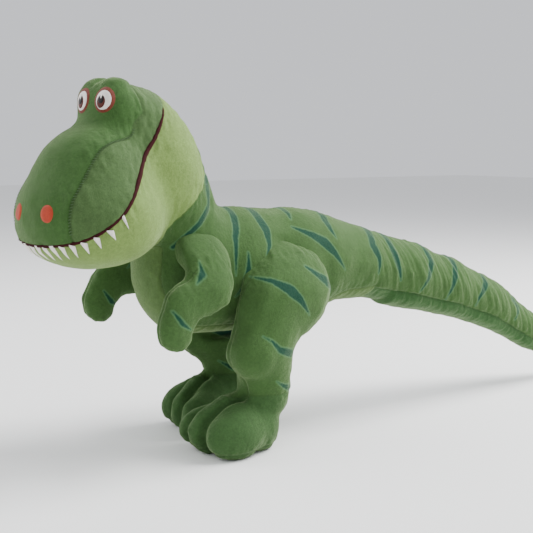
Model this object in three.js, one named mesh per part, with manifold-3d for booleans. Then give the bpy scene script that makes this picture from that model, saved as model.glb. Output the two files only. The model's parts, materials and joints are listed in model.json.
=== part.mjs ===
// Stuffed toy dinosaur: sewn velour panels over separate stuffing cores, with soft joints at the
// neck, shoulders, hips and along the tail.
// Millimetres, +Z up, soles at z = 0. The toy faces -Y and its left side is +X.
// It is built about the mirror plane x = 0, then moved so its middle is over the origin.
import * as THREE from 'three';
import { mergeVertices } from 'three/addons/utils/BufferGeometryUtils.js';
import Module from 'manifold-3d';

const wasm = await Module();
wasm.setup();

// ---- Driving dimensions ---------------------------------------------------------------------
const FABRIC = 2.4;             // velour with its backing
const CORE_GAP = 1.0;           // between a core and the fabric over it
const SEAM_GAP = 0.4;           // between two sewn panels
const TRIM = 1.2;               // thickness of the embroidered and satin patches
const TRIM_GAP = 0.35;          // between a patch and the fabric under it
const OPEN = 2;                 // how far the inside of the cloth runs on at an open end
const JOINT_GAP = 1.5;          // between the two sides of a soft joint

const NECK = [0, -100, 217];    // centre of the ball the head turns on
const NECK_BALL = 55;
const HEAD_TURN = 15;           // degrees, the head is sewn on looking to its left
const BROW_Y = -66;             // the snout panel ends behind the eyes, from the neck centre

const SHOULDER = [0, -98, 188]; // swing axis of the arms, along X
const SHOULDER_DISC = 24;
const ARM_INSIDE = 47;          // x of the flat where an arm meets the torso
const ARM_CLEAR = 60;           // x the arm stays outside of beyond its disc
const ARM_MIDDLE = 71;          // x of the seam round an arm
const ARM_FORWARD = { left: 0, right: 7 };  // degrees each arm is sewn on forward

const HIP = [0, -16, 146];      // swing axis of the legs, along X
const HIP_DISC = 65;
const LEG_INSIDE = 40;          // x of the flat where a thigh meets the torso
const CROTCH_Z = 91;            // below this a leg may come inboard under the belly
const LEG_MIDDLE = 56;          // x of the seam round a leg
const FOOT = [46, -34];         // x, y under the ankle
const TOE_IN = 6;               // degrees each foot points towards the other
const STEP_BACK = { left: 0, right: 18 };  // the right foot stands further back
const ANKLE_Z = 54;             // seam round the ankle
const SOLE_Z = 6;               // seam round the sole

const BELLY_HALF = 30;          // half width of the belly panel
const FLANK_Z = 160;            // the belly seams stay below this, the back seam above
const TAIL_ROOT = [0, 100, 163];  // centres of the two tail joints
const TAIL_ROOT_BALL = 42;
const TAIL_BEND = [0, 238, 127];
const TAIL_BEND_BALL = 33;
const TAIL_SLOPE = 18;          // degrees the tail falls at the bend

const MIDDLE = [3.5, 91.7];     // x, y half way between the toy's ends, moved to the origin

// ---- Colours --------------------------------------------------------------------------------
const GREEN = { color: 0x7fa35a, roughness: 0.9, metalness: 0 };
const DARK_GREEN = { color: 0x55803f, roughness: 0.9, metalness: 0 };
const PALE_GREEN = { color: 0x9fb368, roughness: 0.9, metalness: 0 };
const STUFFING = { color: 0xf2f0ea, roughness: 1, metalness: 0 };
const MAROON = { color: 0x3a1418, roughness: 0.7, metalness: 0 };
const SATIN = { color: 0xf4efe6, roughness: 0.45, metalness: 0 };
const NOSTRIL = { color: 0xc2452c, roughness: 0.75, metalness: 0 };

// ---- Shape fields: negative inside, about the distance in mm near the surface -----------------
function ellipsoid(centre, radii) {
  return (x, y, z) => {
    const px = (x - centre[0]) / radii[0];
    const py = (y - centre[1]) / radii[1];
    const pz = (z - centre[2]) / radii[2];
    const k0 = Math.hypot(px, py, pz);
    const k1 = Math.hypot(px / radii[0], py / radii[1], pz / radii[2]);
    return k1 === 0 ? -Math.min(...radii) : (k0 * (k0 - 1)) / k1;
  };
}

// A round bar from a to b whose radius goes from ra to rb; flat squeezes it along X.
function bar(a, b, ra, rb, flat = 1) {
  const ab = [(b[0] - a[0]) / flat, b[1] - a[1], b[2] - a[2]];
  const length2 = ab[0] ** 2 + ab[1] ** 2 + ab[2] ** 2;
  return (x, y, z) => {
    const p = [(x - a[0]) / flat, y - a[1], z - a[2]];
    const t = Math.min(1, Math.max(0, (p[0] * ab[0] + p[1] * ab[1] + p[2] * ab[2]) / length2));
    const away = Math.hypot(p[0] - t * ab[0], p[1] - t * ab[1], p[2] - t * ab[2]);
    return (away - ra - t * (rb - ra)) * Math.min(1, flat * 1.2);
  };
}

// Joins fields with a rounded valley about k mm wide.
function soften(k, ...fields) {
  return (x, y, z) => {
    let d = fields[0](x, y, z);
    for (const field of fields.slice(1)) {
      const e = field(x, y, z);
      const h = Math.max(k - Math.abs(d - e), 0) / k;
      d = Math.min(d, e) - h * h * k * 0.25;
    }
    return d;
  };
}

// ---- From a field to a closed mesh ------------------------------------------------------------
// First point from a centre along a direction where the field reaches the level.
function reach(field, centre, way, level, farthest = 220) {
  const at = (t) => field(centre.x + way.x * t, centre.y + way.y * t, centre.z + way.z * t) - level;
  let near = 0;
  let far = 2;
  while (far < farthest && at(far) < 0) {
    near = far;
    far += 2;
  }
  for (let i = 0; i < 18; i += 1) {
    const middle = (near + far) / 2;
    if (at(middle) < 0) near = middle;
    else far = middle;
  }
  return new THREE.Vector3(way.x, way.y, way.z).multiplyScalar(near).add(centre);
}

// The outside of a body is meshed finely, its inside more plainly.
const choose = (level, { fine, plain }) => (level < 0 ? plain : fine);

// Closed skin of a field round a spine in the YZ plane: rings along it and a dome at each end.
function skin(field, spinePoints, grid, level = 0) {
  const [rings, around, dome] = choose(level, grid);
  const spine = new THREE.CatmullRomCurve3(spinePoints.map((p) => new THREE.Vector3(...p)));
  const side = new THREE.Vector3(1, 0, 0);
  const stations = [];
  const startAlong = spine.getTangentAt(0);
  const endAlong = spine.getTangentAt(1);
  for (let i = 1; i <= dome; i += 1) {
    stations.push([spine.getPointAt(0), startAlong, -1 + i / (dome + 1)]);
  }
  for (let i = 0; i <= rings; i += 1) {
    stations.push([spine.getPointAt(i / rings), spine.getTangentAt(i / rings), 0]);
  }
  for (let i = 1; i <= dome; i += 1) {
    stations.push([spine.getPointAt(1), endAlong, i / (dome + 1)]);
  }
  const vertices = [];
  const push = (v) => vertices.push(v.x, v.y, v.z);
  for (const [centre, along, lean] of stations) {
    const up = new THREE.Vector3().crossVectors(along, side).normalize();
    const slant = (lean * Math.PI) / 2;
    for (let j = 0; j < around; j += 1) {
      const turn = (j / around) * Math.PI * 2;
      const way = side.clone().multiplyScalar(Math.cos(turn) * Math.cos(slant))
        .addScaledVector(up, Math.sin(turn) * Math.cos(slant))
        .addScaledVector(along, Math.sin(slant));
      push(reach(field, centre, way, level));
    }
  }
  push(reach(field, spine.getPointAt(0), startAlong.clone().negate(), level));
  push(reach(field, spine.getPointAt(1), endAlong, level));
  const triangles = [];
  const last = stations.length - 1;
  const startPole = stations.length * around;
  for (let j = 0; j < around; j += 1) {
    const k = (j + 1) % around;
    for (let i = 0; i < last; i += 1) {
      const a = i * around;
      const b = a + around;
      triangles.push(a + j, b + j, a + k, a + k, b + j, b + k);
    }
    triangles.push(startPole, j, k);
    triangles.push(startPole + 1, last * around + k, last * around + j);
  }
  return closed(vertices, triangles);
}

// Closed skin of a field that every ray from one centre leaves once.
function puff(field, centre, detail, level = 0) {
  const sphere = new THREE.IcosahedronGeometry(1, choose(level, detail));
  sphere.deleteAttribute('normal');
  sphere.deleteAttribute('uv');
  const directions = mergeVertices(sphere, 1e-4);
  const { position } = directions.attributes;
  const from = new THREE.Vector3(...centre);
  const vertices = [];
  for (let i = 0; i < position.count; i += 1) {
    const way = new THREE.Vector3().fromBufferAttribute(position, i).normalize();
    const v = reach(field, from, way, level);
    vertices.push(v.x, v.y, v.z);
  }
  return closed(vertices, Array.from(directions.index.array));
}

function closed(vertices, triangles) {
  const made = new wasm.Manifold(new wasm.Mesh({
    numProp: 3,
    vertProperties: new Float32Array(vertices),
    triVerts: new Uint32Array(triangles),
  }));
  if (made.volume() > 0) return made;
  const turned = [];
  for (let i = 0; i < triangles.length; i += 3) {
    turned.push(triangles[i], triangles[i + 2], triangles[i + 1]);
  }
  return closed(vertices, turned);
}

// ---- Solids for cutting, from three.js geometries ----------------------------------------------
function solid(geometry) {
  const bare = geometry.clone();
  bare.deleteAttribute('normal');
  bare.deleteAttribute('uv');
  const merged = mergeVertices(bare, 1e-4);
  return closed(merged.attributes.position.array, Array.from(merged.index.array));
}

function block(x0, x1, y0, y1, z0, z1) {
  const geometry = new THREE.BoxGeometry(x1 - x0, y1 - y0, z1 - z0);
  return solid(geometry.translate((x0 + x1) / 2, (y0 + y1) / 2, (z0 + z1) / 2));
}

function ball(centre, radius) {
  return solid(new THREE.SphereGeometry(radius, 20, 12).translate(...centre));
}

// A disc about an axis along X.
function disc(centre, radius, x0, x1) {
  const geometry = new THREE.CylinderGeometry(radius, radius, x1 - x0, 20).rotateZ(Math.PI / 2);
  return solid(geometry.translate((x0 + x1) / 2, centre[1], centre[2]));
}

// A thin wall that follows a line of [a, b] points and runs through the body from depth c0 to c1.
// Looking along X the line is [y, z]; looking along Y it is [x, z].
function wall(points, alongAxis, c0, c1, thickness = SEAM_GAP) {
  const line = points.map((p) => new THREE.Vector2(...p));
  const left = [];
  const right = [];
  line.forEach((p, i) => {
    const before = line[Math.max(i - 1, 0)];
    const after = line[Math.min(i + 1, line.length - 1)];
    const across = after.clone().sub(before).normalize().rotateAround(new THREE.Vector2(), Math.PI / 2);
    left.push(p.clone().addScaledVector(across, thickness / 2));
    right.unshift(p.clone().addScaledVector(across, -thickness / 2));
  });
  const outline = new THREE.Shape([...left, ...right]);
  const geometry = new THREE.ExtrudeGeometry(outline, { depth: c1 - c0, bevelEnabled: false });
  const position = geometry.attributes.position;
  for (let i = 0; i < position.count; i += 1) {
    const [a, b, c] = [position.getX(i), position.getY(i), position.getZ(i) + c0];
    if (alongAxis === 'x') position.setXYZ(i, c, a, b);
    else position.setXYZ(i, a, c, b);
  }
  return solid(geometry);
}

// Cuts a body with seam walls and gives back the pieces worth keeping, biggest first.
function cutApart(body, walls, smallest = 150) {
  let rest = body;
  for (const w of walls) rest = rest.subtract(w);
  return rest.decompose().filter((p) => p.volume() > smallest).sort((a, b) => b.volume() - a.volume());
}

// The piece whose middle scores highest.
function pick(pieces, score) {
  const middle = (p) => {
    const { min, max } = p.boundingBox();
    return score((min[0] + max[0]) / 2, (min[1] + max[1]) / 2, (min[2] + max[2]) / 2);
  };
  return pieces.reduce((best, p) => (middle(p) > middle(best) ? p : best));
}

// ---- Meshes -------------------------------------------------------------------------------------
function mesh(name, body, look) {
  const made = body.getMesh();
  const geometry = new THREE.BufferGeometry();
  geometry.setAttribute('position', new THREE.BufferAttribute(new Float32Array(made.vertProperties), 3));
  geometry.setIndex(new THREE.BufferAttribute(new Uint32Array(made.triVerts), 1));
  const result = new THREE.Mesh(geometry, new THREE.MeshStandardMaterial(look));
  result.name = name;
  return result;
}

const toy = new THREE.Group();
toy.name = 'stuffed_dinosaur';

// A stuffed piece is a shape(level): level 0 is its outside, -FABRIC the inside of the cloth.
// At a joint the cloth ends open: its inside runs OPEN further than its outside.
const biggest = (body) => body.decompose().sort((a, b) => b.volume() - a.volume())[0];

function cloth(shape) {
  return shape(0, 0).subtract(biggest(shape(-FABRIC, OPEN)));
}

function core(shape) {
  return biggest(shape(-FABRIC - CORE_GAP, 0));
}

// The same solid on the other side of the toy.
function mirrored(body) {
  const made = body.getMesh();
  const vertices = Array.from(made.vertProperties, (v, i) => (i % 3 === 0 ? -v : v));
  return closed(vertices, Array.from(made.triVerts));
}

// ---- Head, about the neck centre ------------------------------------------------------------------
const head = new THREE.Group();
head.position.set(...NECK);
head.rotation.z = THREE.MathUtils.degToRad(HEAD_TURN);
toy.add(head);

const headField = soften(
  16,
  ellipsoid([0, -6, 0], [46, 40, 52]),
  ellipsoid([0, -34, 40], [53, 48, 56]),
  ellipsoid([0, -52, 76], [40, 42, 40]),
  ellipsoid([0, -94, 38], [50, 46, 43]),
  ellipsoid([0, -99, 8], [65, 60, 43]),
  ellipsoid([0, -97, -9], [59, 54, 29]),
  ellipsoid([14, -80, 103], [16, 15, 17]),
  ellipsoid([-14, -80, 103], [16, 15, 17]),
);
const HEAD_CENTRE = [0, -58, 36];
const MUZZLE_Y = -99;           // middle of the muzzle, from the neck centre
const headSkin = (level) => puff(headField, HEAD_CENTRE, { fine: 6, plain: 4 }, level);

// The lip line seen from the side, [y, z], from in front of the muzzle to over the crown.
const LIP_LINE = [
  [-190, -21], [-154, -18], [-141, -13], [-127, -4], [-110, 11], [-90, 34],
  [-61, 68], [-43, 94], [-27, 116], [-8, 150],
];
const LIP_CORNER = 8;           // the open lip ends at this point, a plain seam goes on
// The seam between the jaw and the nape, [y, z].
const NAPE_LINE = [[-40, 150], [-22, 104], [-6, 66], [3, 30], [3, -70]];
// The seam between the snout and a cheek seen from the front, [x, z].
const CHEEK_LINE = [[37, -60], [37, -12], [38, 8], [38, 30], [36, 64], [33, 80], [35, 92], [35, 150]];

// The head ends at the ball of the neck, and its jaw hangs free in front of the collar.
const belowCollar = (open) => block(-110, 110, -46 + open, 130, -160, -4 - open);
const headShape = (level, open) => headSkin(level)
  .subtract(ball([0, 0, 0], NECK_BALL - open))
  .subtract(belowCollar(open));

const halves = cutApart(cloth(headShape), [wall(LIP_LINE, 'x', -95, 95, 2.4)]);
const upper = pick(halves, (x, y, z) => z);
const lower = pick(halves, (x, y, z) => -z);
const cheekWall = (side) => wall(CHEEK_LINE.map(([x, z]) => [side * x, z]), 'y', -190, BROW_Y);
const upperPieces = cutApart(upper, [
  cheekWall(1),
  cheekWall(-1),
  block(-35.5, 35.5, BROW_Y - SEAM_GAP / 2, BROW_Y + SEAM_GAP / 2, 60, 150),
  block(-SEAM_GAP / 2, SEAM_GAP / 2, BROW_Y, 20, 60, 150),
]);
const lowerPieces = cutApart(lower, [wall(NAPE_LINE, 'x', -95, 95)]);
head.add(mesh('head_stuffing', core(headShape), STUFFING));
head.add(mesh('snout_panel', pick(upperPieces, (x, y) => -Math.abs(x) * 10 - y), DARK_GREEN));
head.add(mesh('cheek_panel_left', pick(upperPieces, (x) => x), DARK_GREEN));
head.add(mesh('cheek_panel_right', pick(upperPieces, (x) => -x), DARK_GREEN));
head.add(mesh('jaw_panel', pick(lowerPieces, (x, y) => -y), PALE_GREEN));
head.add(mesh('nape_panel', pick(lowerPieces, (x, y) => y), GREEN));

// The mouth cord lies in the open lip seam and stands a little proud.
const mouthCord = headSkin(0.9).subtract(headSkin(-FABRIC + 0.4))
  .intersect(wall(LIP_LINE.slice(0, LIP_CORNER), 'x', -95, 95, 1.6));
head.add(mesh('mouth_cord', pick(mouthCord.decompose(), (x, y) => -y), MAROON));

// A patch is the thin layer over the head cloth inside a punch that points outwards.
const patchLayer = headSkin(TRIM_GAP + TRIM).subtract(headSkin(TRIM_GAP));

function patch(name, geometry, look) {
  head.add(mesh(name, biggest(patchLayer.intersect(solid(geometry))), look));
}

// An oval punch that points forward, out to one side and up.
function ovalPunch(at, width, height, outward, upward) {
  return new THREE.CylinderGeometry(1, 1, 40, 18).rotateX(Math.PI / 2)
    .scale(width / 2, height / 2, 1)
    .rotateX(Math.PI / 2 - THREE.MathUtils.degToRad(upward))
    .rotateZ(THREE.MathUtils.degToRad(outward))
    .translate(...at);
}

for (const [side, sign] of [['left', 1], ['right', -1]]) {
  patch(`eye_patch_${side}`, ovalPunch([sign * 13.5, -84, 101], 18, 21, sign * 14, 0), SATIN);
  patch(`nostril_patch_${side}`, ovalPunch([sign * 18, -148, 10], 13, 14, sign * 12, 0), NOSTRIL);
}

// Teeth hang from the lip line, evenly round the muzzle.
const TEETH_EACH_SIDE = 8;
const TOOTH_STEP = 9.4;         // degrees round the muzzle centre
const TOOTH = { half: 3, drop: 10, under: 1.5 };

function lipHeight(y) {
  const i = LIP_LINE.findIndex((p) => p[0] > y);
  const [a, b] = [LIP_LINE[i - 1], LIP_LINE[i]];
  return a[1] + ((y - a[0]) / (b[0] - a[0])) * (b[1] - a[1]);
}

// A point of the lip on the head cloth, at an angle from straight ahead.
function lipPoint(degrees) {
  const turn = THREE.MathUtils.degToRad(degrees);
  const way = { x: Math.sin(turn), y: -Math.cos(turn), z: 0 };
  let z = -18;
  let point;
  for (let i = 0; i < 12; i += 1) {
    point = reach(headField, new THREE.Vector3(0, MUZZLE_Y, z), way, 0);
    z = (z + lipHeight(point.y)) / 2;
  }
  return point;
}

for (let i = -TEETH_EACH_SIDE; i <= TEETH_EACH_SIDE; i += 1) {
  const at = lipPoint(i * TOOTH_STEP);
  const along = lipPoint(i * TOOTH_STEP + 2).sub(lipPoint(i * TOOTH_STEP - 2)).normalize();
  const turn = THREE.MathUtils.degToRad(i * TOOTH_STEP);
  const out = new THREE.Vector3(Math.sin(turn), -Math.cos(turn), 0);
  const up = new THREE.Vector3().crossVectors(out, along).normalize();
  const outward = new THREE.Vector3().crossVectors(along, up);
  const triangle = new THREE.Shape([
    new THREE.Vector2(-TOOTH.half, -TOOTH.under),
    new THREE.Vector2(Math.sign(i) * 0.8, -TOOTH.drop),
    new THREE.Vector2(TOOTH.half, -TOOTH.under),
  ]);
  const punch = new THREE.ExtrudeGeometry(triangle, { depth: 16, bevelEnabled: false })
    .translate(0, 0, -8)
    .applyMatrix4(new THREE.Matrix4().makeBasis(along, up, outward).setPosition(at));
  patch(`tooth_${String(i + TEETH_EACH_SIDE + 1).padStart(2, '0')}`, punch, SATIN);
}

// ---- Torso -----------------------------------------------------------------------------------------
const torsoField = soften(
  14,
  ellipsoid([0, -92, 165], [54, 48, 60]),
  ellipsoid([0, -95, 200], [46, 42, 40]),
  ellipsoid([0, -40, 164], [54, 60, 61]),
  ellipsoid([0, 20, 166], [51, 62, 56]),
  bar([0, 60, 168], [0, 110, 160], 46, 35),
  bar([0, 110, 160], TAIL_BEND, 35, 29.5),
);
const TORSO_SPINE = [[0, -96, 178], [0, -70, 166], [0, 0, 165], [0, 60, 167], [0, 130, 156]];
const torsoSkin = (level) => skin(torsoField, TORSO_SPINE, { fine: [9, 16, 2], plain: [7, 12, 2] }, level);

const behindTailRoot = block(-100, 100, TAIL_ROOT[1], 300, 0, 300);
const mirrorPair = (make) => make(1).add(make(-1));
const armPockets = (level) => mirrorPair((sign) => disc(
  SHOULDER,
  SHOULDER_DISC + JOINT_GAP - level,
  Math.min(sign * (ARM_INSIDE + level), sign * 90),
  Math.max(sign * (ARM_INSIDE + level), sign * 90),
));
const legPockets = (level) => mirrorPair((sign) => disc(
  HIP,
  HIP_DISC + JOINT_GAP - level,
  Math.min(sign * (LEG_INSIDE + level), sign * 90),
  Math.max(sign * (LEG_INSIDE + level), sign * 90),
));

// The neck column below the head is part of the torso and ends in the ball.
function neckPlug(level, open) {
  const column = headSkin(level).intersect(ball([0, 0, 0], NECK_BALL - JOINT_GAP + open));
  const made = column.getMesh();
  const placed = new THREE.BufferAttribute(new Float32Array(made.vertProperties), 3);
  head.updateMatrixWorld(true);
  placed.applyMatrix4(head.matrixWorld);
  return closed(Array.from(placed.array), Array.from(made.triVerts));
}

const torsoShape = (level, open) => torsoSkin(level)
  .subtract(behindTailRoot.subtract(ball(TAIL_ROOT, TAIL_ROOT_BALL - JOINT_GAP + open)))
  .add(neckPlug(level, open))
  .subtract(armPockets(level))
  .subtract(legPockets(level));

const bellyWall = (sign) => {
  const x = sign * BELLY_HALF;
  return block(x - SEAM_GAP / 2, x + SEAM_GAP / 2, -170, 170, 60, FLANK_Z)
    .add(block(x - SEAM_GAP / 2, x + SEAM_GAP / 2, -170, NECK[1], FLANK_Z - 1, 290));
};
const backWall = block(-SEAM_GAP / 2, SEAM_GAP / 2, NECK[1] + 1, 170, FLANK_Z, 290);
const torsoPieces = cutApart(cloth(torsoShape), [bellyWall(1), bellyWall(-1), backWall]);
toy.add(mesh('torso_stuffing', core(torsoShape), STUFFING));
toy.add(mesh('side_panel_left', pick(torsoPieces, (x) => x), GREEN));
toy.add(mesh('side_panel_right', pick(torsoPieces, (x) => -x), GREEN));
toy.add(mesh('belly_panel', pick(torsoPieces, (x, y, z) => -Math.abs(x) * 9 - z), PALE_GREEN));

// ---- Tail ------------------------------------------------------------------------------------------
const tailField = soften(
  10,
  bar([0, 60, 168], [0, 110, 160], 46, 35),
  bar([0, 110, 160], [0, 170, 146], 35, 34),
  bar([0, 170, 146], TAIL_BEND, 34, 29.5),
  bar(TAIL_BEND, [0, 300, 103], 29.5, 25),
  bar([0, 300, 103], [0, 365, 67], 25, 19),
  bar([0, 365, 67], [0, 432, 28], 19, 9),
);
const TAIL_SPINE = [[0, 90, 164], [0, 170, 146], [0, 238, 127], [0, 300, 103], [0, 365, 67], [0, 425, 31]];
const tailSkin = (level) => skin(tailField, TAIL_SPINE, { fine: [12, 12, 2], plain: [8, 8, 1] }, level);

const behindBend = solid(new THREE.BoxGeometry(200, 300, 300).translate(0, 150, 0)
  .rotateX(-THREE.MathUtils.degToRad(TAIL_SLOPE)).translate(...TAIL_BEND));
const tailRootShape = (level, open) => tailSkin(level)
  .intersect(behindTailRoot)
  .subtract(ball(TAIL_ROOT, TAIL_ROOT_BALL - open))
  .subtract(behindBend.subtract(ball(TAIL_BEND, TAIL_BEND_BALL - JOINT_GAP + open)));
const tailTipShape = (level, open) => tailSkin(level)
  .intersect(behindBend)
  .subtract(ball(TAIL_BEND, TAIL_BEND_BALL - open));

// The underside gusset lies below a plane that falls with the tail; the two sides meet on top.
function tailParts(name, shape, gussetLine) {
  const half = SEAM_GAP / 2;
  const pieces = cutApart(cloth(shape), [
    wall(gussetLine, 'x', -60, 60),
    wall(gussetLine.map(([y, z]) => [y, z + 30]), 'x', -half, half, 60),
  ]);
  toy.add(mesh(`${name}_stuffing`, core(shape), STUFFING));
  toy.add(mesh(`${name}_panel_left`, pick(pieces, (x) => x), GREEN));
  toy.add(mesh(`${name}_panel_right`, pick(pieces, (x) => -x), GREEN));
  toy.add(mesh(`${name}_gusset`, pick(pieces, (x, y, z) => -Math.abs(x) * 9 - z), DARK_GREEN));
}
const GUSSET_LINE = [[70, 140], [110, 137], [170, 125], [238, 108], [300, 87], [365, 54], [460, 2]];
tailParts('tail_root', tailRootShape, GUSSET_LINE);
tailParts('tail_tip', tailTipShape, GUSSET_LINE);

// ---- Arms ------------------------------------------------------------------------------------------
const armField = soften(
  7,
  bar([71, -100, 192], [71, -101, 157], 25, 24, 0.5),
  bar([71, -101, 157], [71, -134, 146], 20, 18, 0.62),
  bar([71, -134, 146], [71, -140, 124], 18, 17, 0.66),
  bar([71, -140, 124], [71, -135, 116], 16, 12, 0.7),
);
const ARM_SPINE = [[71, -100, 190], [71, -103, 162], [71, -122, 146], [71, -137, 136], [71, -137, 120]];
const armShape = (level) => skin(armField, ARM_SPINE, { fine: [8, 10, 2], plain: [6, 8, 1] }, level)
  .subtract(block(0, ARM_CLEAR - level, -200, 0, 0, 300))
  .add(disc(SHOULDER, SHOULDER_DISC + level, ARM_INSIDE + JOINT_GAP - level, ARM_MIDDLE));

const armSeam = block(ARM_MIDDLE, ARM_MIDDLE + SEAM_GAP, -220, 0, 0, 300);
const armPieces = cutApart(cloth(armShape), [armSeam]);
const armBodies = {
  stuffing: [core(armShape), STUFFING],
  outer_panel: [pick(armPieces, (x) => x), GREEN],
  inner_panel: [pick(armPieces, (x) => -x), GREEN],
};

// ---- Legs and feet -----------------------------------------------------------------------------------
// Foot fields about the ankle: heel, instep and three toes.
const footField = soften(
  8,
  ellipsoid([0, -6, 24], [25, 20, 31]),
  ellipsoid([0, -28, 28], [26, 30, 28]),
  ellipsoid([21, -39, 20], [16, 29, 23]),
  ellipsoid([-4, -49, 21], [11.5, 26, 24]),
  ellipsoid([-24, -50, 19], [13, 27, 21]),
);

function footSkin(level, stepBack) {
  const made = puff(footField, [0, -28, 24], { fine: 4, plain: 2 }, level).getMesh();
  const placed = new THREE.BufferAttribute(new Float32Array(made.vertProperties), 3);
  placed.applyMatrix4(new THREE.Matrix4()
    .makeRotationZ(-THREE.MathUtils.degToRad(TOE_IN)).setPosition(FOOT[0], FOOT[1] + stepBack, 0));
  return closed(Array.from(placed.array), Array.from(made.triVerts));
}

const sheet = (z) => block(-60, 160, -200, 100, z - SEAM_GAP / 2, z + SEAM_GAP / 2);

// The pieces of a left leg whose foot stands stepBack further back.
function legPieces(stepBack) {
  const legField = soften(
    12,
    ellipsoid([56, -10, 150], [24, 48, 50]),
    ellipsoid([57, -37, 128], [23, 33, 38]),
    ellipsoid([56, -50 + stepBack / 3, 98], [23, 27, 27]),
    bar([52, -36 + stepBack / 2, 98], [46, -33 + stepBack, 50], 27, 25),
  );
  const spine = [
    [56, -8, 156],
    [56, -22 + stepBack / 4, 124],
    [52, -34 + stepBack / 2, 96],
    [46, -34 + stepBack, 52],
  ];
  const inboard = (level) => block(
    -60,
    LEG_INSIDE + JOINT_GAP - level,
    -120,
    120,
    CROTCH_Z + level,
    300,
  );
  const shape = (level) => skin(legField, spine, { fine: [6, 12, 2], plain: [5, 8, 1] }, level)
    .subtract(inboard(level))
    .add(footSkin(level, stepBack))
    .subtract(block(-60, 160, -200, 100, -60, -level));
  const pieces = cutApart(cloth(shape), [
    sheet(ANKLE_Z),
    sheet(SOLE_Z),
    block(LEG_MIDDLE, LEG_MIDDLE + SEAM_GAP, -200, 100, ANKLE_Z, 300),
  ]);
  const thigh = pieces.filter((p) => p.boundingBox().min[2] > ANKLE_Z - 1);
  const foot = pieces.filter((p) => p.boundingBox().max[2] < ANKLE_Z + 1);
  const cores = cutApart(core(shape), [sheet(ANKLE_Z)]);
  return {
    leg_stuffing: [pick(cores, (x, y, z) => z), STUFFING],
    leg_outer_panel: [pick(thigh, (x) => x), GREEN],
    leg_inner_panel: [pick(thigh, (x) => -x), GREEN],
    foot_stuffing: [pick(cores, (x, y, z) => -z), STUFFING],
    foot_upper: [pick(foot, (x, y, z) => z), DARK_GREEN],
    foot_sole: [pick(foot, (x, y, z) => -z), DARK_GREEN],
  };
}

for (const side of ['left', 'right']) {
  const handed = (body) => (side === 'left' ? body : mirrored(body));
  const arm = new THREE.Group();
  arm.position.set(...SHOULDER);
  arm.rotation.x = -THREE.MathUtils.degToRad(ARM_FORWARD[side]);
  for (const [part, [body, look]] of Object.entries(armBodies)) {
    const made = mesh(`arm_${part}_${side}`, handed(body), look);
    made.position.set(-SHOULDER[0], -SHOULDER[1], -SHOULDER[2]);
    arm.add(made);
  }
  toy.add(arm);
  for (const [part, [body, look]] of Object.entries(legPieces(STEP_BACK[side]))) {
    toy.add(mesh(`${part}_${side}`, handed(body), look));
  }
}

toy.position.set(-MIDDLE[0], -MIDDLE[1], 0);

export default toy;
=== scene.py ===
"""The looks of a stuffed toy dinosaur, built over its CAD frame.

Metres, +Z up, the toy faces -Y and its left side is +X. Sizes below are in millimetres.
"""
import json
import math

import bmesh
import bpy
import numpy as np
from mathutils import Matrix, Vector, noise
from mathutils.bvhtree import BVHTree


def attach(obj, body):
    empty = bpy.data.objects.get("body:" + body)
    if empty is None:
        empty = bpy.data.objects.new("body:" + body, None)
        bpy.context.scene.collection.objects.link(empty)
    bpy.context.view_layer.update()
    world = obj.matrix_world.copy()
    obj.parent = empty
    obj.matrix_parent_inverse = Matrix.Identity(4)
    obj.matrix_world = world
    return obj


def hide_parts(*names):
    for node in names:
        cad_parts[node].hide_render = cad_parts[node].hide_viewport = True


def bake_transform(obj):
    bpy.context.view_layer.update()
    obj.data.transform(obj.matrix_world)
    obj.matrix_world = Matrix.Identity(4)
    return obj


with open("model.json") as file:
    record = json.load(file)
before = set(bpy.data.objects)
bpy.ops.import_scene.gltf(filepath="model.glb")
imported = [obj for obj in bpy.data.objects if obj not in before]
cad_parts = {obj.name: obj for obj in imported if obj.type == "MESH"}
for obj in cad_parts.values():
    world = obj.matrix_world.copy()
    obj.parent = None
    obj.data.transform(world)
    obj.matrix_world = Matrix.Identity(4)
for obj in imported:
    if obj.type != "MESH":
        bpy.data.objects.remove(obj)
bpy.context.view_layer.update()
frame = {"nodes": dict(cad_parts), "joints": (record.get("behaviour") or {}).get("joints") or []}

MM = 0.001
JOINTS = {joint["name"]: joint for joint in frame["joints"]}
NECK = Vector(JOINTS["head_turn"]["pos_m"])
TAIL_ROOT = Vector(JOINTS["tail_sway_root"]["pos_m"])
TAIL_BEND = Vector(JOINTS["tail_sway_middle"]["pos_m"])
MIDDLE_X = NECK.x
HEAD_TURN = math.radians(15)

# ---- Sewing and filling ------------------------------------------------------------------------
VOXEL = 4.5             # grid the joined panels are meshed on before they are filled
LEG_VOXEL = 3.3         # finer, to keep the toes apart
PRESSURE = 4.0
FILL_FRAMES = 20
MOST_SWELL = 3.5        # how far the filling may push the cloth out
CLOTH_STIFFNESS = 12
CLOTH_BENDING = 0.6
SEAM_HALF = 1.5         # half width of a sewn seam's groove
SEAM_DEPTH = 0.9
PUCKER = 1.7            # how deep the gathers beside a seam are
GATHER_START = 2.5      # the gathers begin this far from the seam
GATHER_REACH = 9        # and fade over this distance
FOLD_SIZE = 7           # length of one gather
WRINKLE = 1.1           # how deep the rings pinched into the tail are
GUSSET_WRINKLE = 0.35   # the share of that on the tail's underside gusset
GUSSET_STEP = 46        # y where that gusset begins to stand proud
GUSSET_RUN = 7          # over which it rises
GUSSET_LOW = -1.0       # its height before the step and after it
GUSSET_HIGH = 4.0
LUMP_SIZE = 34          # spacing of the large lumps in the filling
LUMP_SMALL = 15

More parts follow.
